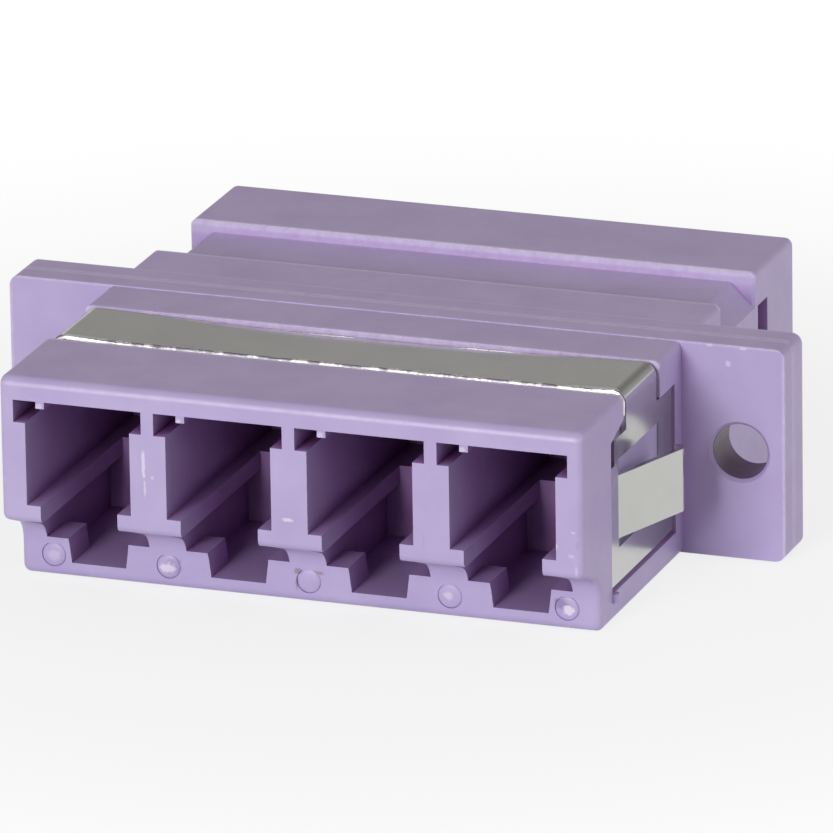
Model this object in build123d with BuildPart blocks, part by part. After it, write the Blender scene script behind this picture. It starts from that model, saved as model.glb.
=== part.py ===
import os

from build123d import *

# Adapter that joins four pairs of fibre plugs through a panel. The ports lie in a row along X, the
# plugs go in along Y, and Z is up. The origin is under the middle of the flange, on the surface that the
# body rests on. All sizes are millimetres.

# Row of ports
port_count = 4
port_pitch = 6.25
half_length = 14.0  # from the weld plane in the flange to the face of the ports

# One port, from the bottom wall up to the roof
floor_wall = 0.67
shoulder_height = 1.07  # shoulders that hold the plug's latch, beside the latch slot
under_rail_height = 1.29
rail_height = 0.79
square_height = 4.6  # bay for the square nose of the plug
roof_wall = 0.98

# One port, across
square_width = 4.65
side_wall = 1.15  # from the last bay to the side of the body
slot_top_width = 2.7  # the latch slot narrows towards its floor
slot_floor_width = 2.43
rail_gap = 3.43
pocket_width = 4.6
wing_width = 5.7  # wide strip just under the roof
wing_height = 0.98
wing_depth = 6.0
guide_rib_width = 0.38
guide_rib_drop = 0.45
guide_rib_inset = 0.32  # from the bay's wall to the rib
guide_rib_length = 3.5

# Depths along the port
chin_setback = 2.15  # the lower face lies this far behind the face of the ports
shoulder_length = 2.05
pocket_end = 4.5  # distance of the latch pocket's end from the weld plane
web_half = 1.6  # half of the wall across the middle

# Step from the face of the ports back to the lower face
chin_top = 3.12
chin_drop = 0.87  # fall of the slope under the ports, before its ends are rounded
chin_lip_radius = 0.32
chin_root_radius = 1.2

# Flange
flange_ear = 4.55  # how far it stands out on each side of the body
flange_half = 1.2
flange_rise = 0.04  # the flange stands this much above the roof
flange_lift = 0.05  # and this much clear of what the body rests on
flange_corner = 0.45
screw_hole = 2.4
screw_inset = 2.0  # from the end of the flange to the middle of the hole
screw_rim = 0.15

# Split sleeves and the tubes that hold them
sleeve_length = 6.8
sleeve_outer = 1.62
sleeve_bore = 1.25
sleeve_slit = 0.3
sleeve_clearance = 0.03  # all round the sleeve, and at each end
tube_wall = 0.46
tube_lip = 0.42  # end wall that keeps the sleeve in
ferrule_hole = 1.4

# Channel for the clip, over the top, with a ramp that runs out at each side
channel_start = 4.0  # distance of its inner edge from the weld plane
channel_width = 4.55
channel_depth = 0.5
channel_corner = 0.45
channel_lip = 0.12  # chamfer along the top of its outer wall
ramp_reach = 1.0  # from the side of the body to the upper end of the ramp

# Slots in each side, and the pocket between them for the clip's leg
pocket_inner = 2.05  # from the weld plane
pocket_outer = 10.3
pocket_low = 1.2
pocket_high = 7.8
pocket_rise = 0.6  # from the pocket's outer end up to the channel
side_depth = 0.35
relief_depth = 0.9
relief_width = 1.25  # beside the flange, where the tab springs back
ear_width = 1.28
ear_height = 1.8
nub_radius = 0.22
nub_height = 0.38

# Clip
strap_thickness = 0.25
strap_width = 3.9
strap_inset = 0.2  # from the inner edge of the channel
strap_bend = 0.3  # inner radius
strap_bow = 0.23  # the strap sags this much between its bends
strap_clearance = 0.02
frame_clearance = 0.2
frame_top_clearance = 0.08
front_bar = 0.95
rear_bar = 1.1
top_bar = 0.97
bottom_bar = 1.5
notch_width = 0.45  # in the frame's upper front corner
notch_height = 1.1
tab_height = 2.75
tab_drop = 0.7  # the tab's top edge below the window's
tab_reach = 4.2
tab_spring = 1.5
tab_curl = 0.35

# Moulded edges
edge_radius = 0.42
side_edge_radius = 0.3
pin_mark = 1.08  # round dip left by an ejector pin
pin_mark_depth = 0.06
pin_mark_level = 0.97
pin_mark_inset = 1.45  # of the end marks, from the side of the body

# Levels and places that follow from the sizes above
shoulder_top = floor_wall + shoulder_height
rail_low = shoulder_top + under_rail_height
bay_floor = rail_low + rail_height
bay_roof = bay_floor + square_height
body_height = bay_roof + roof_wall
ferrule_axis = bay_floor + square_height / 2
body_width = (port_count - 1) * port_pitch + square_width + 2 * side_wall
flange_width = body_width + 2 * flange_ear
screw_spacing = flange_width - 2 * screw_inset
flange_height = body_height + flange_rise - flange_lift
flange_middle = flange_lift + flange_height / 2
chin_face = half_length - chin_setback
shoulder_end = chin_face - shoulder_length
tube_bore = sleeve_outer + 2 * sleeve_clearance
tube_outer = tube_bore + 2 * tube_wall
tube_seat = sleeve_length / 2 + sleeve_clearance
tube_half = tube_seat + tube_lip
channel_end = channel_start + channel_width
channel_floor = body_height - channel_depth
overrun = 1.0  # how far a cut runs past the face that it starts from


# Places of the ports along the row
def port_row():
    return GridLocations(port_pitch, 0, port_count, 1)


# Cuts a slot of one size into every port, between two distances from the weld plane
def cut_ports(width, low, high, outer, inner):
    with BuildSketch(Plane.XZ.offset(inner)) as section:
        with Locations((0, (low + high) / 2)):
            with port_row():
                Rectangle(width, high - low)
    extrude(section.sketch, amount=outer - inner, mode=Mode.SUBTRACT)


# Cuts a box of one depth into both sides of the body
def cut_sides(depth, near, far, low, high):
    for side in (-1, 1):
        with Locations((side * body_width / 2, -(near + far) / 2, (low + high) / 2)):
            Box(2 * depth, far - near, high - low, mode=Mode.SUBTRACT)


with BuildPart() as moulding:
    # Body, drawn from the side: roof, face of the ports, step under them and lower face
    with BuildSketch(Plane.YZ) as side_view:
        with BuildLine():
            Polyline(
                (0, 0),
                (-chin_face, 0),
                (-chin_face, chin_top - chin_drop),
                (-half_length, chin_top),
                (-half_length, body_height),
                (0, body_height),
                close=True,
            )
        make_face()
        for corner, radius in (
            ((-half_length, body_height), edge_radius),
            ((-half_length, chin_top), chin_lip_radius),
            ((-chin_face, chin_top - chin_drop), chin_root_radius),
            ((-chin_face, 0), edge_radius),
        ):
            fillet(side_view.vertices().sort_by_distance(corner)[0], radius=radius)
    extrude(amount=body_width / 2, both=True)
    side_outline = moulding.faces().filter_by(Axis.X).edges()
    fillet(side_outline.filter_by(lambda edge: edge.center().Y < -0.001), radius=side_edge_radius)

    # Channel for the clip's strap
    with BuildSketch(Plane.XZ.offset(channel_start)):
        with Locations((0, body_height)):
            Rectangle(body_width + 2 * overrun, 2 * (body_height - pocket_high))
        with BuildSketch(mode=Mode.SUBTRACT) as channel_bed:
            Polygon(
                (-body_width / 2, pocket_high),
                (body_width / 2, pocket_high),
                (body_width / 2 - ramp_reach, channel_floor),
                (ramp_reach - body_width / 2, channel_floor),
                align=None,
            )
            fillet(channel_bed.vertices().group_by(Axis.Y)[-1], radius=channel_corner)
    extrude(amount=channel_width, mode=Mode.SUBTRACT)
    outer_wall = moulding.faces().filter_by(Axis.Y).sort_by_distance((0, -channel_end, body_height))[0]
    chamfer(outer_wall.edges().sort_by(Axis.Z)[-1], length=channel_lip)

    # Slots in both sides: beside the flange, and at the outer end where the clip's corner hooks in
    cut_sides(relief_depth, pocket_inner, pocket_inner + relief_width, pocket_low, pocket_high)
    cut_sides(relief_depth, pocket_outer - ear_width, pocket_outer, pocket_high - ear_height, pocket_high)

    # Flange with its two screw holes
    with BuildSketch(Plane.XZ):
        with Locations((0, flange_middle)):
            RectangleRounded(flange_width, flange_height, flange_corner)
    extrude(amount=flange_half)
    with Locations(Plane.XZ.offset(flange_half)):
        with Locations((0, flange_middle)):
            with GridLocations(screw_spacing, 0, 2, 1):
                CounterSinkHole(screw_hole / 2, screw_hole / 2 + screw_rim, depth=2 * flange_half)

    # Ports: square bay, wings under the roof, rails, latch slot and the pocket behind its shoulders
    outside = half_length + overrun
    cut_ports(square_width, bay_floor, bay_roof, outside, web_half)
    cut_ports(wing_width, bay_roof - wing_height, bay_roof, outside, half_length - wing_depth)
    cut_ports(rail_gap, rail_low, bay_floor, outside, pocket_end)
    cut_ports(pocket_width, shoulder_top, rail_low, outside, pocket_end)
    cut_ports(pocket_width, floor_wall, shoulder_top, shoulder_end, pocket_end)
    slot_half_height = shoulder_height / 2
    with BuildSketch(Plane.XZ.offset(pocket_end)):
        with Locations((0, floor_wall + slot_half_height)):
            with port_row():
                Polygon(
                    (-slot_floor_width / 2, -slot_half_height),
                    (slot_floor_width / 2, -slot_half_height),
                    (slot_top_width / 2, slot_half_height),
                    (-slot_top_width / 2, slot_half_height),
                )
    extrude(amount=outside - pocket_end, mode=Mode.SUBTRACT)

    # Guide rib that hangs from the roof of each bay
    with BuildSketch(Plane.XZ.offset(half_length - guide_rib_length)):
        rib_middle = guide_rib_inset + guide_rib_width / 2 - square_width / 2
        with Locations((rib_middle, bay_roof - guide_rib_drop / 2)):
            with port_row():
                Rectangle(guide_rib_width, guide_rib_drop)
    extrude(amount=guide_rib_length - edge_radius)

    # Tubes for the split sleeves, open at the weld plane and lipped at the far end
    with BuildSketch(Plane.XZ):
        with Locations((0, ferrule_axis)):
            with port_row():
                Circle(tube_outer / 2)
    extrude(amount=tube_half)
    with BuildSketch(Plane.XZ):
        with Locations((0, ferrule_axis)):
            with port_row():
                Circle(tube_bore / 2)
    extrude(amount=tube_seat, mode=Mode.SUBTRACT)
    with BuildSketch(Plane.XZ):
        with Locations((0, ferrule_axis)):
            with port_row():
                Circle(ferrule_hole / 2)
    extrude(amount=tube_half + overrun, mode=Mode.SUBTRACT)

    # Dips left by the ejector pins in the lower face: one under each wall between ports, one at each end
    mark_spots = []
    for number in range(1, port_count):
        mark_spots.append(((number - port_count / 2) * port_pitch, pin_mark_level))
    for side in (-1, 1):
        mark_spots.append((side * (body_width / 2 - pin_mark_inset), pin_mark_level))
    with BuildSketch(Plane.XZ.offset(chin_face)):
        with Locations(*mark_spots):
            Circle(pin_mark / 2)
    extrude(amount=-pin_mark_depth, mode=Mode.SUBTRACT)

# The rear half is the same moulding mirrored in the weld plane
with BuildPart() as housing_rear:
    add(mirror(moulding.part, about=Plane.XZ))

# The front half also has the pockets that the clip's legs lie in
with BuildPart() as housing_front:
    add(moulding.part)
    for side in (-1, 1):
        with BuildSketch(Plane.YZ.offset(side * (body_width / 2 - side_depth))):
            Polygon(
                (-pocket_inner, pocket_low),
                (-pocket_outer, pocket_low),
                (-pocket_outer, pocket_high),
                (-channel_end, pocket_high + pocket_rise),
                (-channel_end, body_height + overrun),
                (-channel_start, body_height + overrun),
                (-channel_start, pocket_high),
                (-pocket_inner, pocket_high),
                align=None,
            )
        extrude(amount=side * (side_depth + overrun), mode=Mode.SUBTRACT)
    with BuildSketch(Plane.XY.offset(pocket_low - nub_height)):
        with GridLocations(body_width, 0, 2, 1):
            with Locations((0, -pocket_outer + nub_radius)):
                Circle(nub_radius)
    extrude(amount=nub_height)

# Clip of spring steel: a strap over the channel, and on each side a framed leg with one sprung tab
strap_roof = channel_floor + strap_clearance
leg_inside = body_width / 2 - side_depth + strap_clearance
frame_inner = pocket_inner + frame_clearance
frame_outer = pocket_outer - frame_clearance
frame_low = pocket_low + frame_clearance
frame_high = pocket_high - frame_top_clearance
window_inner = frame_inner + rear_bar
window_outer = frame_outer - front_bar
window_low = frame_low + bottom_bar
window_high = frame_high - top_bar
tab_high = window_high - tab_drop

with BuildPart() as panel_clip:
    # Strap, bent over the roof and down to the legs
    strap_start = channel_start + strap_inset
    middle = strap_thickness / 2
    with BuildSketch(Plane.XZ.offset(strap_start)):
        with BuildLine() as strap_line:
            leg_middle = leg_inside + middle
            bend_level = strap_roof + middle + strap_bow
            Line((-leg_middle, frame_high - top_bar / 2), (-leg_middle, bend_level))
            ThreePointArc((-leg_middle, bend_level), (0, strap_roof + middle), (leg_middle, bend_level))
            Line((leg_middle, bend_level), (leg_middle, frame_high - top_bar / 2))
            fillet(strap_line.vertices().group_by(Axis.Y)[-1], radius=strap_bend + middle)
        trace(line_width=strap_thickness)
    extrude(amount=strap_width)

    # Framed legs
    for side in (-1, 1):
        inside = side * leg_inside
        with BuildSketch(Plane.YZ.offset(inside)):
            with Locations((-(frame_inner + frame_outer) / 2, (frame_low + frame_high) / 2)):
                Rectangle(frame_outer - frame_inner, frame_high - frame_low)
            with Locations((-(window_inner + window_outer) / 2, (window_low + window_high) / 2)):
                Rectangle(window_outer - window_inner, window_high - window_low, mode=Mode.SUBTRACT)
            with Locations((-frame_outer + notch_width / 2, frame_high - notch_height / 2)):
                Rectangle(notch_width, notch_height, mode=Mode.SUBTRACT)
        extrude(amount=side * strap_thickness)

        # Tab, rooted in the front bar and sprung out towards the flange
        root = side * (leg_inside + middle)
        with BuildSketch(Plane.XY.offset(tab_high - tab_height)):
            with BuildLine():
                FilletPolyline(
                    (root, -window_outer - front_bar / 2),
                    (root, -window_outer),
                    (root + side * tab_spring, -window_outer + tab_reach),
                    (root + side * (tab_spring - tab_curl), -window_outer + tab_reach + tab_curl),
                    radius=strap_bend,
                )
            trace(line_width=strap_thickness)
        extrude(amount=tab_height)

# Split sleeves: slit tubes that line up the ferrules of two facing plugs
sleeves = []
for location in port_row():
    axis = Plane.XZ.offset(-sleeve_length / 2) * Location((location.position.X, ferrule_axis, 0))
    with BuildPart() as split_sleeve:
        with BuildSketch(Plane(axis)):
            Circle(sleeve_outer / 2)
            Circle(sleeve_bore / 2, mode=Mode.SUBTRACT)
            with Locations((0, sleeve_outer / 2)):
                Rectangle(sleeve_slit, sleeve_outer, mode=Mode.SUBTRACT)
        extrude(amount=sleeve_length)
    sleeves.append(split_sleeve.part)

housing_front.part.label = "housing_front"
housing_rear.part.label = "housing_rear"
panel_clip.part.label = "panel_clip"
pieces = [housing_front.part, housing_rear.part, panel_clip.part]
for number, sleeve in enumerate(sleeves, start=1):
    sleeve.label = f"split_sleeve_{number}"
    pieces.append(sleeve)

os.makedirs("parts", exist_ok=True)
for piece in pieces:
    export_step(piece, f"parts/{piece.label}.step")
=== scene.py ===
import math

import bmesh
import bpy
from mathutils import Matrix, Vector, noise


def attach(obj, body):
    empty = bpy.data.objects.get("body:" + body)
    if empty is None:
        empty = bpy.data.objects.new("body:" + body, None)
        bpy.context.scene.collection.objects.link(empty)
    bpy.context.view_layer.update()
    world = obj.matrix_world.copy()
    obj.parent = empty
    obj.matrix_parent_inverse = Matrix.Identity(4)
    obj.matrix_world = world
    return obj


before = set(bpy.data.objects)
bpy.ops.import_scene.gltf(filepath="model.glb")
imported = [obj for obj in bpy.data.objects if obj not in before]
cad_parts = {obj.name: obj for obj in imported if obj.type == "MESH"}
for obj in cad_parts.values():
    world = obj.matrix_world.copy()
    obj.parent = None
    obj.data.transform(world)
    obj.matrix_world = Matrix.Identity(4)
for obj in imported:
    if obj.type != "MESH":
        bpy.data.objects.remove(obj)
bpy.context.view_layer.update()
mm = 0.001

print("frame loaded:", len(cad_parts), "nodes")


# small helpers for materials and pieces

def newMaterial(name):
    material = bpy.data.materials.new(name)
    material.use_nodes = True
    nodes = material.node_tree.nodes
    return material, nodes, material.node_tree.links, nodes["Principled BSDF"]


def addNode(nodes, kind, **settings):
    node = nodes.new(kind)
    for key, value in settings.items():
        if key in node.inputs:
            node.inputs[key].default_value = value
        else:
            setattr(node, key, value)
    return node


def feed(links, socket, value):
    if isinstance(value, bpy.types.NodeSocket):
        links.new(value, socket)
    elif isinstance(value, tuple) and len(value) == 3:
        socket.default_value = (*value, 1)
    else:
        socket.default_value = value


def mixColour(nodes, links, share, first, second):
    mix = addNode(nodes, "ShaderNodeMix", data_type="RGBA")
    feed(links, mix.inputs[0], share)
    feed(links, mix.inputs[6], first)
    feed(links, mix.inputs[7], second)
    return mix.outputs[2]


def mixNumber(nodes, links, share, first, second):
    mix = nodes.new("ShaderNodeMix")
    feed(links, mix.inputs[0], share)
    feed(links, mix.inputs[2], first)
    feed(links, mix.inputs[3], second)
    return mix.outputs[0]


def mapRange(nodes, links, value, fromSpan, toSpan, smooth=False):
    span = nodes.new("ShaderNodeMapRange")
    if smooth:
        span.interpolation_type = "SMOOTHSTEP"
    links.new(value, span.inputs["Value"])
    span.inputs["From Min"].default_value, span.inputs["From Max"].default_value = fromSpan
    span.inputs["To Min"].default_value, span.inputs["To Max"].default_value = toSpan
    return span.outputs["Result"]


def joinNumbers(nodes, links, operation, first, second):
    step = addNode(nodes, "ShaderNodeMath", operation=operation)
    links.new(first, step.inputs[0])
    links.new(second, step.inputs[1])
    return step.outputs[0]


def changeVector(nodes, links, operation, vector, by):
    step = addNode(nodes, "ShaderNodeVectorMath", operation=operation)
    links.new(vector, step.inputs[0])
    step.inputs[1].default_value = by
    return step.outputs["Vector"]


def lengthOf(nodes, links, vector):
    length = addNode(nodes, "ShaderNodeVectorMath", operation="LENGTH")
    links.new(vector, length.inputs[0])
    return length.outputs["Value"]


def distanceTo(nodes, links, place, spot, operation, by):
    offset = changeVector(nodes, links, "SUBTRACT", place, spot)
    return lengthOf(nodes, links, changeVector(nodes, links, operation, offset, by))


def inMillimetres(nodes, links):
    where = nodes.new("ShaderNodeTexCoord")
    scaled = addNode(nodes, "ShaderNodeVectorMath", operation="SCALE", Scale=1 / mm)
    links.new(where.outputs["Object"], scaled.inputs[0])
    return scaled.outputs["Vector"]


def noiseField(nodes, links, place, scale, detail, roughness=0.5):
    field = addNode(nodes, "ShaderNodeTexNoise", Scale=scale, Detail=detail, Roughness=roughness)
    links.new(place, field.inputs["Vector"])
    return field.outputs["Fac"]


def toneRamp(nodes, links, value, stops):
    ramp = nodes.new("ShaderNodeValToRGB")
    points = ramp.color_ramp.elements
    for point, (position, colour) in zip(points, (stops[0], stops[-1])):
        point.position = position
        point.color = (*colour, 1)
    for position, colour in stops[1:-1]:
        points.new(position).color = (*colour, 1)
    links.new(value, ramp.inputs["Fac"])
    return ramp.outputs["Color"]


def bumpFrom(nodes, links, height, strength, distance):
    bump = addNode(nodes, "ShaderNodeBump", Strength=strength, Distance=distance)
    links.new(height, bump.inputs["Height"])
    return bump.outputs["Normal"]


def dress(node, material):
    piece = bpy.data.objects[node]
    piece.data.materials.clear()
    piece.data.materials.append(material)
    return piece


def showShape(name, shape, material):
    bmesh.ops.recalc_face_normals(shape, faces=shape.faces)
    mesh = bpy.data.meshes.new(name)
    shape.to_mesh(mesh)
    shape.free()
    piece = bpy.data.objects.new(name, mesh)
    bpy.context.scene.collection.objects.link(piece)
    piece.data.materials.append(material)
    for face in piece.data.polygons:
        face.use_smooth = True
    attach(piece, "root")


def awayFromPart(azimuth, elevation):
    az, el = math.radians(azimuth), math.radians(elevation)
    return Vector((math.sin(az) * math.cos(el), -math.cos(az) * math.cos(el), math.sin(el)))


# camera, fitted to the edges in the photograph
view = {
    "azimuth": 20.07,
    "elevation": 18.55,
    "roll": 0.873,
    "aim": (0.0, 0.0, 4.65),       # mm
    "aimPixel": (403.95, 411.11),  # where that point falls in the picture
    "picture": 833,                # its width and height in pixels
    "distance": 526.1,             # mm
    "focalPixels": 12396.0,
    "sensor": 36.0,
    "clip": (0.01, 20.0),          # m
}


def placeCamera():
    roll = math.radians(view["roll"])
    back = awayFromPart(view["azimuth"], view["elevation"])
    ahead = -back
    right = ahead.cross(Vector((0, 0, 1))).normalized()
    down = ahead.cross(right)
    right, down = (math.cos(roll) * right + math.sin(roll) * down,
                   -math.sin(roll) * right + math.cos(roll) * down)
    middle = view["picture"] / 2
    perPixel = view["distance"] / view["focalPixels"]
    across = (view["aimPixel"][0] - middle) * perPixel
    below = (view["aimPixel"][1] - middle) * perPixel
    spot = Vector(view["aim"]) - across * right - below * down - view["distance"] * ahead
    turn = Matrix((right, -down, -ahead)).transposed().to_4x4()
    lens = bpy.data.cameras.new("photoCamera")
    lens.sensor_width = view["sensor"]
    lens.lens = view["focalPixels"] / view["picture"] * view["sensor"]
    lens.clip_start, lens.clip_end = view["clip"]
    camera = bpy.data.objects.new("photoCamera", lens)
    camera.matrix_world = Matrix.Translation(spot * mm) @ turn
    bpy.context.scene.collection.objects.link(camera)
    bpy.context.scene.camera = camera


placeCamera()
print("camera placed")

# light and background
studio = {
    "ambient": 0.30,
    "lamps": {
        "keyLamp": {"power": 1.17, "azimuth": -7.5, "elevation": 15.5, "size": 0.12, "distance": 0.45},
        "rimLamp": {"power": 0.50, "azimuth": 100, "elevation": 22, "size": 0.25, "distance": 0.45},
    },
    "lampAim": (0, 0, 0.005),          # m
    # what a polished face mirrors of the room, by the height of the mirrored direction
    "aboveSpan": (0.02, 0.26), "dimAbove": 0.41,
    "highSpan": (0.335, 0.46), "dimHigh": 0.20,
    # tint of the room light that falls on upper faces
    "warmSpan": (0.2, 0.8), "warmAbove": (1.30, 1.14, 1.08),
    "floorColour": (0.82, 0.82, 0.82, 1),
    "floorRoughness": 0.9,
    "floorReach": 1.5,                 # m
    "floorLevel": -0.03,               # mm, just clear of the housing, so the two faces never fight
    "floorLift": 0.80,                 # share of plain white that the camera sees in the floor by the part
    "floorFade": (18.0, 60.0),         # mm from the middle, over which that share grows to all of it
}


def addLamp(name, power, azimuth, elevation, size, distance):
    back = awayFromPart(azimuth, elevation)
    light = bpy.data.lights.new(name, "AREA")
    light.shape = "SQUARE"
    light.size = size
    light.energy = power
    lamp = bpy.data.objects.new(name, light)
    lamp.location = back * distance + Vector(studio["lampAim"])
    lamp.rotation_mode = "QUATERNION"
    lamp.rotation_quaternion = (-back).to_track_quat("-Z", "Y")
    bpy.context.scene.collection.objects.link(lamp)


def seenBy(nodes, links, *rays):
    path = nodes.new("ShaderNodeLightPath")
    share = path.outputs[rays[0]]
    for ray in rays[1:]:
        share = joinNumbers(nodes, links, "MAXIMUM", share, path.outputs[ray])
    return share


def buildRoom():
    world = bpy.data.worlds.new("paleRoom")
    bpy.context.scene.world = world
    world.use_nodes = True
    nodes, links = world.node_tree.nodes, world.node_tree.links
    sky = nodes["Background"]
    heading = nodes.new("ShaderNodeTexCoord")
    parts = nodes.new("ShaderNodeSeparateXYZ")
    links.new(heading.outputs["Generated"], parts.inputs[0])
    height = parts.outputs["Z"]

    mirrored = mapRange(nodes, links, height, studio["aboveSpan"], (1.0, studio["dimAbove"]), smooth=True)
    higher = mapRange(nodes, links, height, studio["highSpan"], (0.0, 1.0), smooth=True)
    mirrored = mixNumber(nodes, links, higher, mirrored, studio["dimHigh"])
    glossy = seenBy(nodes, links, "Is Glossy Ray")
    strength = mixNumber(nodes, links, glossy, studio["ambient"], mirrored)
    seen = seenBy(nodes, links, "Is Camera Ray", "Is Transmission Ray")
    links.new(mixNumber(nodes, links, seen, strength, 1.0), sky.inputs["Strength"])

    lit = mapRange(nodes, links, height, studio["warmSpan"], (0.0, 1.0))
    room = mixColour(nodes, links, lit, (1, 1, 1), studio["warmAbove"])
    links.new(mixColour(nodes, links, seen, room, (1, 1, 1)), sky.inputs["Color"])


def buildFloor():
    mesh = bpy.data.meshes.new("floor")
    reach = studio["floorReach"]
    level = studio["floorLevel"] * mm
    mesh.from_pydata([(-reach, -reach, level), (reach, -reach, level), (reach, reach, level),
                      (-reach, reach, level)], [], [(0, 1, 2, 3)])
    floor = bpy.data.objects.new("floor", mesh)
    bpy.context.scene.collection.objects.link(floor)
    material, nodes, links, shader = newMaterial("paleFloor")
    shader.inputs["Base Color"].default_value = studio["floorColour"]
    shader.inputs["Roughness"].default_value = studio["floorRoughness"]
    shader.inputs["Specular IOR Level"].default_value = 0.0
    glow = addNode(nodes, "ShaderNodeEmission", Strength=1.0)
    away = lengthOf(nodes, links, inMillimetres(nodes, links))
    fade = mapRange(nodes, links, away, studio["floorFade"], (studio["floorLift"], 1.0), smooth=True)
    seen = seenBy(nodes, links, "Is Camera Ray", "Is Glossy Ray", "Is Transmission Ray")
    mix = nodes.new("ShaderNodeMixShader")
    links.new(joinNumbers(nodes, links, "MULTIPLY", fade, seen), mix.inputs["Fac"])
    links.new(shader.outputs[0], mix.inputs[1])
    links.new(glow.outputs[0], mix.inputs[2])
    links.new(mix.outputs[0], nodes["Material Output"].inputs["Surface"])
    floor.data.materials.append(material)


buildRoom()
for lampName, lampSettings in studio["lamps"].items():
    addLamp(lampName, **lampSettings)
buildFloor()
bpy.context.scene.view_settings.view_transform = "Standard"
print("studio built")

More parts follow.
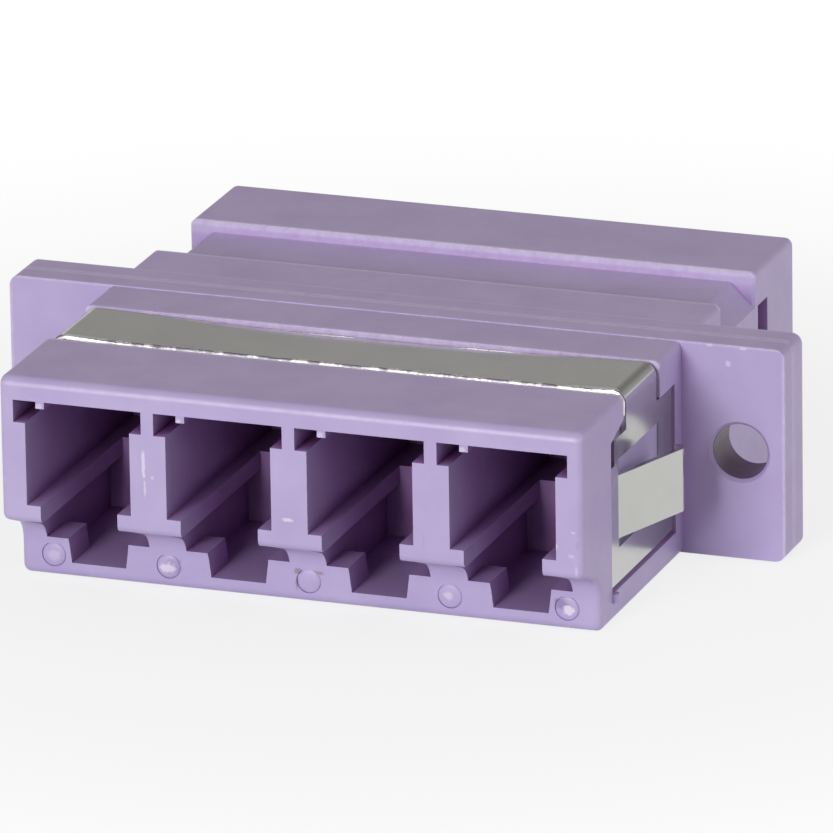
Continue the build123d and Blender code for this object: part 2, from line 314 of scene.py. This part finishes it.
# moulded violet plastic of both housing halves, with painted shade in its ports and corners and painted
# highlights along its edges
plastic = {
    "colour": (0.47, 0.395, 0.655),
    "paler": (0.495, 0.425, 0.68),
    "deeper": (0.445, 0.365, 0.63),
    "paintedShadeDeep": (0.12, 0.025, 0.13),     # painted shade deep in the ports, where the plastic faces itself
    "bay": (0.54, 0.32, 0.69),         # milder painted shade near their mouths and in corners
    "hollowReach": 6.0,                # mm
    "hollowRays": 6,
    "hollowSpan": (0.05, 0.42),        # how open a place is where the deep painted shade turns to the milder one
    "baySpan": (0.38, 0.60),           # and the milder painted shade to the plain plastic
    # each painted highlight line runs along an axis through a point, with its half width in mm and its
    # strength
    "edgeHighlightTone": (0.68, 0.60, 0.84),
    "edgeHighlightLines": (
        ("X", (0, 1.2, 9.44), 0.11, 0.55),     # edges of the flange
        ("Z", (17.4, 1.2, 0), 0.12, 0.6),
        ("X", (0, 0.12, 9.44), 0.09, 0.7),     # weld
        ("Z", (17.4, 0.12, 0), 0.09, 0.5),
        ("X", (0, 8.56, 9.10), 0.30, 0.45),    # edges of the top grooves
        ("X", (0, 8.62, 9.34), 0.20, 1.0),
        ("X", (0, 4.0, 9.28), 0.20, 0.85),
        ("X", (0, 13.97, 9.12), 0.09, 0.45),   # top edge of the port sides
    ),
    "edgeFade": (0.5, 1.3),            # shares of the half width between which a line fades
    "edgeBreak": (0.45, 1.0),          # how much of it is left from patch to patch
    # painted shade on the inner walls of the screw holes
    "screwHoleShade": {"middle": (15.4, 0, 4.745), "radius": 1.205, "fade": 1.02,
                  "tone": (0.11, 0.045, 0.125), "share": 0.85},
    # middle, half sizes, tone and strength of each mark, of real scratches and dirt and of painted light
    # and shade
    "marks": (
        # whitish scratches on the first wall between the ports, a painted highlight on the next wall, a
        # darker streak on the third, a pale spot near the right edge, and painted light and shade on small
        # bumps along that edge
        ((-6.44, -14, 6.2), (0.09, 0.4, 0.85), (0.86, 0.82, 0.92), 0.55),
        ((-6.40, -14, 5.1), (0.06, 0.4, 0.45), (0.86, 0.82, 0.92), 0.40),
        ((-6.05, -14, 5.6), (0.08, 0.4, 0.12), (0.86, 0.82, 0.92), 0.35),
        ((-0.06, -14, 4.37), (0.24, 0.4, 0.10), (0.86, 0.82, 0.92), 0.55),
        ((5.9, -14, 4.0), (0.05, 0.4, 0.40), (0.36, 0.29, 0.50), 0.30),
        ((11.66, -14, 4.4), (0.12, 0.4, 0.16), (0.86, 0.82, 0.92), 0.55),
        ((12.44, -14, 5.10), (0.12, 0.5, 0.06), (0.80, 0.74, 0.90), 0.40),
        ((12.62, -14, 4.50), (0.08, 0.5, 0.20), (0.34, 0.26, 0.44), 0.30),
        ((12.36, -14, 4.05), (0.16, 0.5, 0.10), (0.80, 0.74, 0.90), 0.35),
        ((12.58, -14, 3.42), (0.06, 0.5, 0.26), (0.80, 0.74, 0.90), 0.35),
        # soft light and shade on the worn pin marks
        ((-11.38, -11.85, 0.93), (0.28, 0.3, 0.26), (0.72, 0.66, 0.82), 0.40),
        ((-6.04, -11.85, 1.06), (0.44, 0.3, 0.40), (0.27, 0.19, 0.40), 0.40),
        ((-6.30, -11.85, 0.90), (0.34, 0.3, 0.30), (0.80, 0.74, 0.88), 0.80),
        ((6.16, -11.85, 0.99), (0.22, 0.3, 0.20), (0.76, 0.70, 0.86), 0.55),
        ((11.22, -11.85, 1.10), (0.40, 0.3, 0.36), (0.22, 0.14, 0.34), 0.60),
        ((11.44, -11.85, 0.88), (0.30, 0.3, 0.26), (0.84, 0.78, 0.92), 0.80),
        # painted highlights on the front ends of the guide ribs
        ((-11.24, -13.6, 8.03), (0.15, 0.6, 0.17), (0.84, 0.80, 0.94), 0.45),
        ((-5.02, -13.6, 8.03), (0.15, 0.6, 0.17), (0.84, 0.80, 0.94), 0.45),
        ((1.23, -13.6, 8.03), (0.15, 0.6, 0.17), (0.84, 0.80, 0.94), 0.45),
        ((7.48, -13.6, 8.03), (0.15, 0.6, 0.17), (0.84, 0.80, 0.94), 0.45),
        # dirt around the middle pin mark
        ((-0.47, -11.85, 1.37), (0.22, 0.3, 0.15), (0.24, 0.12, 0.10), 0.60),
        ((0.51, -11.85, 1.38), (0.27, 0.3, 0.12), (0.24, 0.12, 0.10), 0.55),
        ((-0.52, -11.85, 0.86), (0.08, 0.3, 0.32), (0.20, 0.10, 0.16), 0.55),
        # painted highlights on a pimple and along the top edge of the flange's right part
        ((14.92, -1.2, 8.62), (0.15, 0.4, 0.17), (0.80, 0.74, 0.90), 0.50),
        ((14.1, -1.2, 9.36), (0.16, 0.3, 0.07), (0.80, 0.74, 0.90), 0.50),
        ((15.6, -1.2, 9.34), (0.18, 0.3, 0.07), (0.80, 0.74, 0.90), 0.50),
    ),
    "markFade": (0.55, 1.1),           # shares of the half sizes between which a mark fades
    "markRagged": (-0.45, 0.45),
    "roughness": (0.36, 0.46),
    "specular": 0.45,
    "cloudSize": 3.2,                  # mm
    "patchScale": 2.6,
    "polishScale": 0.9,
    "grainSize": 0.16,                 # mm
    "grainHeight": 0.004,              # mm
    "grainStrength": 0.35,
    "edgeWidth": 0.09,                 # mm, the radius that the mould leaves on every small edge
    # rounding of the rear half's edge at the weld, found by its distance from the middle planes in mm
    "seam": {"width": 0.25, "outside": 16.9, "top": 9.42, "bottom": 0.06, "segments": 3},
}


# painted highlights along the flange edges, the weld, the groove walls and the top edges of the port sides
def paintedEdgeHighlights(nodes, links, mirrored, patchy, shade):
    broken = mapRange(nodes, links, patchy, (0.35, 0.65), plastic["edgeBreak"])
    near, far = plastic["edgeFade"]
    for along, spot, halfWidth, strength in plastic["edgeHighlightLines"]:
        across = (0, 1, 1) if along == "X" else (1, 1, 0)
        away = distanceTo(nodes, links, mirrored, spot, "MULTIPLY", across)
        line = mapRange(nodes, links, away, (halfWidth * near, halfWidth * far), (strength, 0.0),
                        smooth=True)
        share = joinNumbers(nodes, links, "MULTIPLY", line, broken)
        shade = mixColour(nodes, links, share, shade, plastic["edgeHighlightTone"])
    return shade


def shadedHoles(nodes, links, mirrored, shade):
    # darkens the colour inside the hole radius, as painted shade
    hole = plastic["screwHoleShade"]
    away = distanceTo(nodes, links, mirrored, hole["middle"], "MULTIPLY", (1, 0, 1))
    rim = (hole["radius"], hole["radius"] * hole["fade"])
    inside = mapRange(nodes, links, away, rim, (hole["share"], 0.0))
    return mixColour(nodes, links, inside, shade, hole["tone"])


# real scratches and dirt, and painted light and shade, each mixed in as a soft spot
def scuffsDirtAndPaintedLight(nodes, links, place, patchy, shade):
    ragged = mapRange(nodes, links, patchy, (0.3, 0.7), plastic["markRagged"])
    for middle, halfSizes, tone, strength in plastic["marks"]:
        away = distanceTo(nodes, links, place, middle, "DIVIDE", halfSizes)
        rough = joinNumbers(nodes, links, "ADD", away, ragged)
        share = mapRange(nodes, links, rough, plastic["markFade"], (strength, 0.0), smooth=True)
        shade = mixColour(nodes, links, share, shade, tone)
    return shade


def mouldedPlastic():
    material, nodes, links, shader = newMaterial("violetPlastic")
    place = inMillimetres(nodes, links)
    cloud = noiseField(nodes, links, place, 1 / plastic["cloudSize"], 4.0, 0.6)
    stops = ((0.3, plastic["deeper"]), (0.5, plastic["colour"]), (0.7, plastic["paler"]))
    plain = toneRamp(nodes, links, cloud, stops)

    # painted shade: the less open a place is, by ambient occlusion, the darker and more purple its colour
    around = addNode(nodes, "ShaderNodeAmbientOcclusion", samples=plastic["hollowRays"],
                     only_local=True, Distance=plastic["hollowReach"] * mm)
    nearMouth = mapRange(nodes, links, around.outputs["AO"], plastic["hollowSpan"], (0.0, 1.0))
    openness = mapRange(nodes, links, around.outputs["AO"], plastic["baySpan"], (0.0, 1.0))
    shade = mixColour(nodes, links, nearMouth, plastic["paintedShadeDeep"], plastic["bay"])
    shade = mixColour(nodes, links, openness, shade, plain)

    # the housing is alike on both sides, so the painted edge highlights and the painted shade in the screw
    # holes are drawn once and mirrored
    mirrored = addNode(nodes, "ShaderNodeVectorMath", operation="ABSOLUTE")
    links.new(place, mirrored.inputs[0])
    patchy = noiseField(nodes, links, place, plastic["patchScale"], 4.0, 0.7)
    shade = paintedEdgeHighlights(nodes, links, mirrored.outputs[0], patchy, shade)
    shade = shadedHoles(nodes, links, mirrored.outputs[0], shade)
    shade = scuffsDirtAndPaintedLight(nodes, links, place, patchy, shade)
    links.new(shade, shader.inputs["Base Color"])

    polish = noiseField(nodes, links, place, plastic["polishScale"], 5.0, 0.65)
    gloss = mapRange(nodes, links, polish, (0.3, 0.7), plastic["roughness"])
    links.new(gloss, shader.inputs["Roughness"])
    grain = noiseField(nodes, links, place, 1 / plastic["grainSize"], 3.0)
    bump = bumpFrom(nodes, links, grain, plastic["grainStrength"], plastic["grainHeight"] * mm)
    links.new(bump, shader.inputs["Normal"])
    shader.inputs["Specular IOR Level"].default_value = plastic["specular"]
    return material


def joinFlatFaces(piece):
    flat = piece.modifiers.new("flat", "DECIMATE")
    flat.decimate_type = "DISSOLVE"
    flat.angle_limit = math.radians(0.6)


def roundSeam(piece):
    seam = plastic["seam"]
    rim = piece.vertex_groups.new(name="seam")
    chosen = []
    for vertex in piece.data.vertices:
        spot = piece.matrix_world @ vertex.co / mm
        outer = abs(spot.x) > seam["outside"] or spot.z > seam["top"] or spot.z < seam["bottom"]
        if outer and abs(spot.y) < 0.001:
            chosen.append(vertex.index)
    rim.add(chosen, 1.0, "ADD")
    edge = piece.modifiers.new("seam", "BEVEL")
    edge.width = seam["width"] * mm
    edge.segments = seam["segments"]
    edge.limit_method = "VGROUP"
    edge.vertex_group = "seam"
    edge.use_clamp_overlap = False


def softenEdges(piece, width, segments=2, angle=28, weight=80):
    edge = piece.modifiers.new("edge", "BEVEL")
    edge.width = width * mm
    edge.segments = segments
    edge.limit_method = "ANGLE"
    edge.angle_limit = math.radians(angle)
    edge.use_clamp_overlap = True
    edge.harden_normals = False
    even = piece.modifiers.new("even", "WEIGHTED_NORMAL")
    even.mode = "FACE_AREA"
    even.weight = weight
    even.keep_sharp = False


violet = mouldedPlastic()
for node in ("housing_front", "housing_rear"):
    half = dress(node, violet)
    joinFlatFaces(half)
    if node == "housing_rear":
        roundSeam(half)
    softenEdges(half, plastic["edgeWidth"])

# low domes left by the ejector pins, in the dips of both lower faces, in mm
pins = {
    "across": (-11.4, -6.25, 0.0, 6.25, 11.4),
    "level": 0.97, "radius": 0.535,
    "base": 11.79, "crown": 11.90,
    "uneven": 0.05,    # share by which the domes differ in radius
    "flatness": 0.8,
    "turns": 28, "rings": 6,
}


def pinDomes():
    shape = bmesh.new()
    turns, rings = pins["turns"], pins["rings"]
    for side in (-1, 1):
        for across in pins["across"]:
            grown = pins["radius"] * (1 + pins["uneven"] * noise.noise(Vector((across, side, 3.1))))
            tip = shape.verts.new((across * mm, side * pins["crown"] * mm, pins["level"] * mm))
            last = None
            for ring in range(1, rings + 1):
                tilt = ring / rings * math.pi / 2
                radius = grown * math.sin(tilt)
                depth = pins["base"] + (pins["crown"] - pins["base"]) * math.cos(tilt) ** pins["flatness"]
                loop = []
                for turn in range(turns):
                    angle = turn * math.tau / turns
                    loop.append(shape.verts.new(((across + radius * math.cos(angle)) * mm,
                                                 side * depth * mm,
                                                 (pins["level"] + radius * math.sin(angle)) * mm)))
                for turn in range(turns):
                    after = (turn + 1) % turns
                    corners = ([tip, loop[turn], loop[after]] if last is None
                               else [last[turn], loop[turn], loop[after], last[after]])
                    shape.faces.new(corners)
                last = loop
            shape.faces.new(last)
    return shape


showShape("pinDomes", pinDomes(), violet)
print("housing finished")

# spring steel of the clip
steel = {
    "colour": (0.570, 0.577, 0.555),
    "darker": (0.540, 0.547, 0.527),
    "roughness": (0.14, 0.22),
    "rollLine": 0.05,      # mm between the marks of the rolls
    "rollStretch": 0.4,    # their scale along the rolls
    "rollHeight": 0.002,   # mm
    "rollStrength": 0.2,
    "patchScale": 0.5,
    "edgeWidth": 0.035,    # mm
}


def rolledSteel():
    material, nodes, links, shader = newMaterial("springSteel")
    place = inMillimetres(nodes, links)
    stretch = addNode(nodes, "ShaderNodeMapping")
    stretch.inputs["Scale"].default_value = (steel["rollStretch"], 1 / steel["rollLine"],
                                             steel["rollStretch"])
    links.new(place, stretch.inputs["Vector"])
    lines = noiseField(nodes, links, stretch.outputs["Vector"], 1.0, 3.0, 0.55)
    patch = noiseField(nodes, links, place, steel["patchScale"], 4.0)
    tone = toneRamp(nodes, links, patch, ((0.35, steel["darker"]), (0.65, steel["colour"])))
    links.new(tone, shader.inputs["Base Color"])
    gloss = mapRange(nodes, links, lines, (0.3, 0.7), steel["roughness"])
    links.new(gloss, shader.inputs["Roughness"])
    bump = bumpFrom(nodes, links, lines, steel["rollStrength"], steel["rollHeight"] * mm)
    links.new(bump, shader.inputs["Normal"])
    shader.inputs["Metallic"].default_value = 1.0
    return material


clip = dress("panel_clip", rolledSteel())
joinFlatFaces(clip)
softenEdges(clip, steel["edgeWidth"])

# bright rolled edge along the front of the strap, which turns down with the legs, in mm
lip = {
    "tone": (0.93, 0.93, 0.91), "dull": (0.40, 0.38, 0.42),
    "roughness": (0.28, 0.52),
    "wornScale": 1.9, "wornSpan": (0.45, 0.60),         # where the dull metal turns bright
    "brightEnds": (9.5, 11.8), "endGain": 0.16,         # both ends are brighter than the middle
    "pitScale": 9.0, "pitHeight": 0.004, "pitStrength": 0.3,
    "ends": 12.22, "bend": 0.545, "bendLevel": 8.835,   # where the strap turns down
    "midTop": 9.17, "crest": 9.335, "endCrest": 9.43, "height": 0.23,
    "legRise": 0.02, "legEnd": 8.30,
    # section: distance in front of the strap's own edge, share of the height up to the crest
    "section": ((0.0, -0.10), (0.045, 0.02), (0.04, 0.18), (0.02, 0.50), (-0.01, 0.86), (-0.03, 0.97),
                (-0.05, 1.0), (-0.13, 0.98), (-0.20, 0.80), (-0.24, 0.30), (-0.26, -0.1)),
    "stripFront": -8.1,
    "steps": 260, "cornerSteps": 8,
    "waveScale": 1.7, "waveLean": 0.022, "waveDip": 0.10,
    "fineScale": 5.3, "fineLean": 0.014, "fineDip": 0.12,
    "dipFrom": 0.4,                                     # share of the height above which the edge dips
}


def lipPath():
    ends, bend, bendLevel = lip["ends"], lip["bend"], lip["bendLevel"]
    steps, cornerSteps = lip["steps"], lip["cornerSteps"]
    stations = []
    for step in range(steps + 1):
        x = -ends + 2 * ends * step / steps
        bow = (x / ends) ** 2
        level = lip["midTop"] + (bendLevel + bend - lip["midTop"]) * bow
        crest = lip["crest"] + (lip["endCrest"] - lip["crest"]) * bow ** 3
        stations.append((x, level, 0.0, 1.0, crest - level, abs(x) / ends))
    corner = []
    for step in range(1, cornerSteps + 1):
        left = 1 - step / cornerSteps
        outX, outZ = math.cos(math.pi / 2 * left), math.sin(math.pi / 2 * left)
        corner.append((ends + bend * outX, bendLevel + bend * outZ, outX, outZ, lip["legRise"], left))
    for step in range(1, cornerSteps + 1):
        level = bendLevel + (lip["legEnd"] - bendLevel) * step / cornerSteps
        corner.append((ends + bend, level, 1.0, 0.0, lip["legRise"] * (1 - step / cornerSteps), 0.0))
    mirrored = [(-x, z, -outX, outZ, rise, end) for x, z, outX, outZ, rise, end in reversed(corner)]
    return mirrored + stations + corner


def strapLip():
    shape = bmesh.new()
    last = None
    for x, z, outX, outZ, rise, end in lipPath():
        wave = noise.noise(Vector((x * lip["waveScale"], 0.3, 1.0)))
        fine = noise.noise(Vector((x * lip["fineScale"], 4.0, 2.0)))
        lean = lip["waveLean"] * wave + lip["fineLean"] * fine
        dip = min(0.0, lip["fineDip"] * fine + lip["waveDip"] * wave) * (1 - end ** 6)
        loop = []
        for ahead, share in lip["section"]:
            above = rise - (1 - share) * lip["height"]
            if share > lip["dipFrom"]:
                above += 0.5 * share * dip
            y = lip["stripFront"] - ahead + lean * max(0.0, share)
            loop.append(shape.verts.new(((x + outX * above) * mm, y * mm, (z + outZ * above) * mm)))
        if last:
            for index in range(len(loop)):
                after = (index + 1) % len(loop)
                shape.faces.new((last[index], loop[index], loop[after], last[after]))
        else:
            shape.faces.new(loop)
        last = loop
    shape.faces.new(last)
    return shape


def burnishedSteel():
    material, nodes, links, shader = newMaterial("burnishedSteel")
    place = inMillimetres(nodes, links)
    worn = noiseField(nodes, links, place, lip["wornScale"], 3.0, 0.6)
    parts = nodes.new("ShaderNodeSeparateXYZ")
    links.new(place, parts.inputs[0])
    reach = addNode(nodes, "ShaderNodeMath", operation="ABSOLUTE")
    links.new(parts.outputs["X"], reach.inputs[0])
    nearEnds = mapRange(nodes, links, reach.outputs[0], lip["brightEnds"], (0.0, lip["endGain"]))
    raised = joinNumbers(nodes, links, "ADD", worn, nearEnds)
    share = mapRange(nodes, links, raised, lip["wornSpan"], (0.0, 1.0), smooth=True)
    links.new(mixColour(nodes, links, share, lip["dull"], lip["tone"]), shader.inputs["Base Color"])
    gloss = mapRange(nodes, links, worn, (0.3, 0.7), lip["roughness"])
    links.new(gloss, shader.inputs["Roughness"])
    pits = noiseField(nodes, links, place, lip["pitScale"], 2.0)
    bump = bumpFrom(nodes, links, pits, lip["pitStrength"], lip["pitHeight"] * mm)
    links.new(bump, shader.inputs["Normal"])
    shader.inputs["Metallic"].default_value = 1.0
    return material


showShape("strapLip", strapLip(), burnishedSteel())
print("clip finished")

# zirconia of the split sleeves
zirconia = {
    "colour": (0.86, 0.86, 0.83),
    "shade": (0.80, 0.80, 0.77),
    "roughness": 0.15,
    "cloudScale": 1.5,
}


def polishedCeramic():
    material, nodes, links, shader = newMaterial("zirconia")
    cloud = noiseField(nodes, links, inMillimetres(nodes, links), zirconia["cloudScale"], 3.0)
    tone = toneRamp(nodes, links, cloud, ((0.0, zirconia["shade"]), (1.0, zirconia["colour"])))
    links.new(tone, shader.inputs["Base Color"])
    shader.inputs["Roughness"].default_value = zirconia["roughness"]
    return material


ceramic = polishedCeramic()
for number in (1, 2, 3, 4):
    dress("split_sleeve_%d" % number, ceramic)
print("sleeves finished")
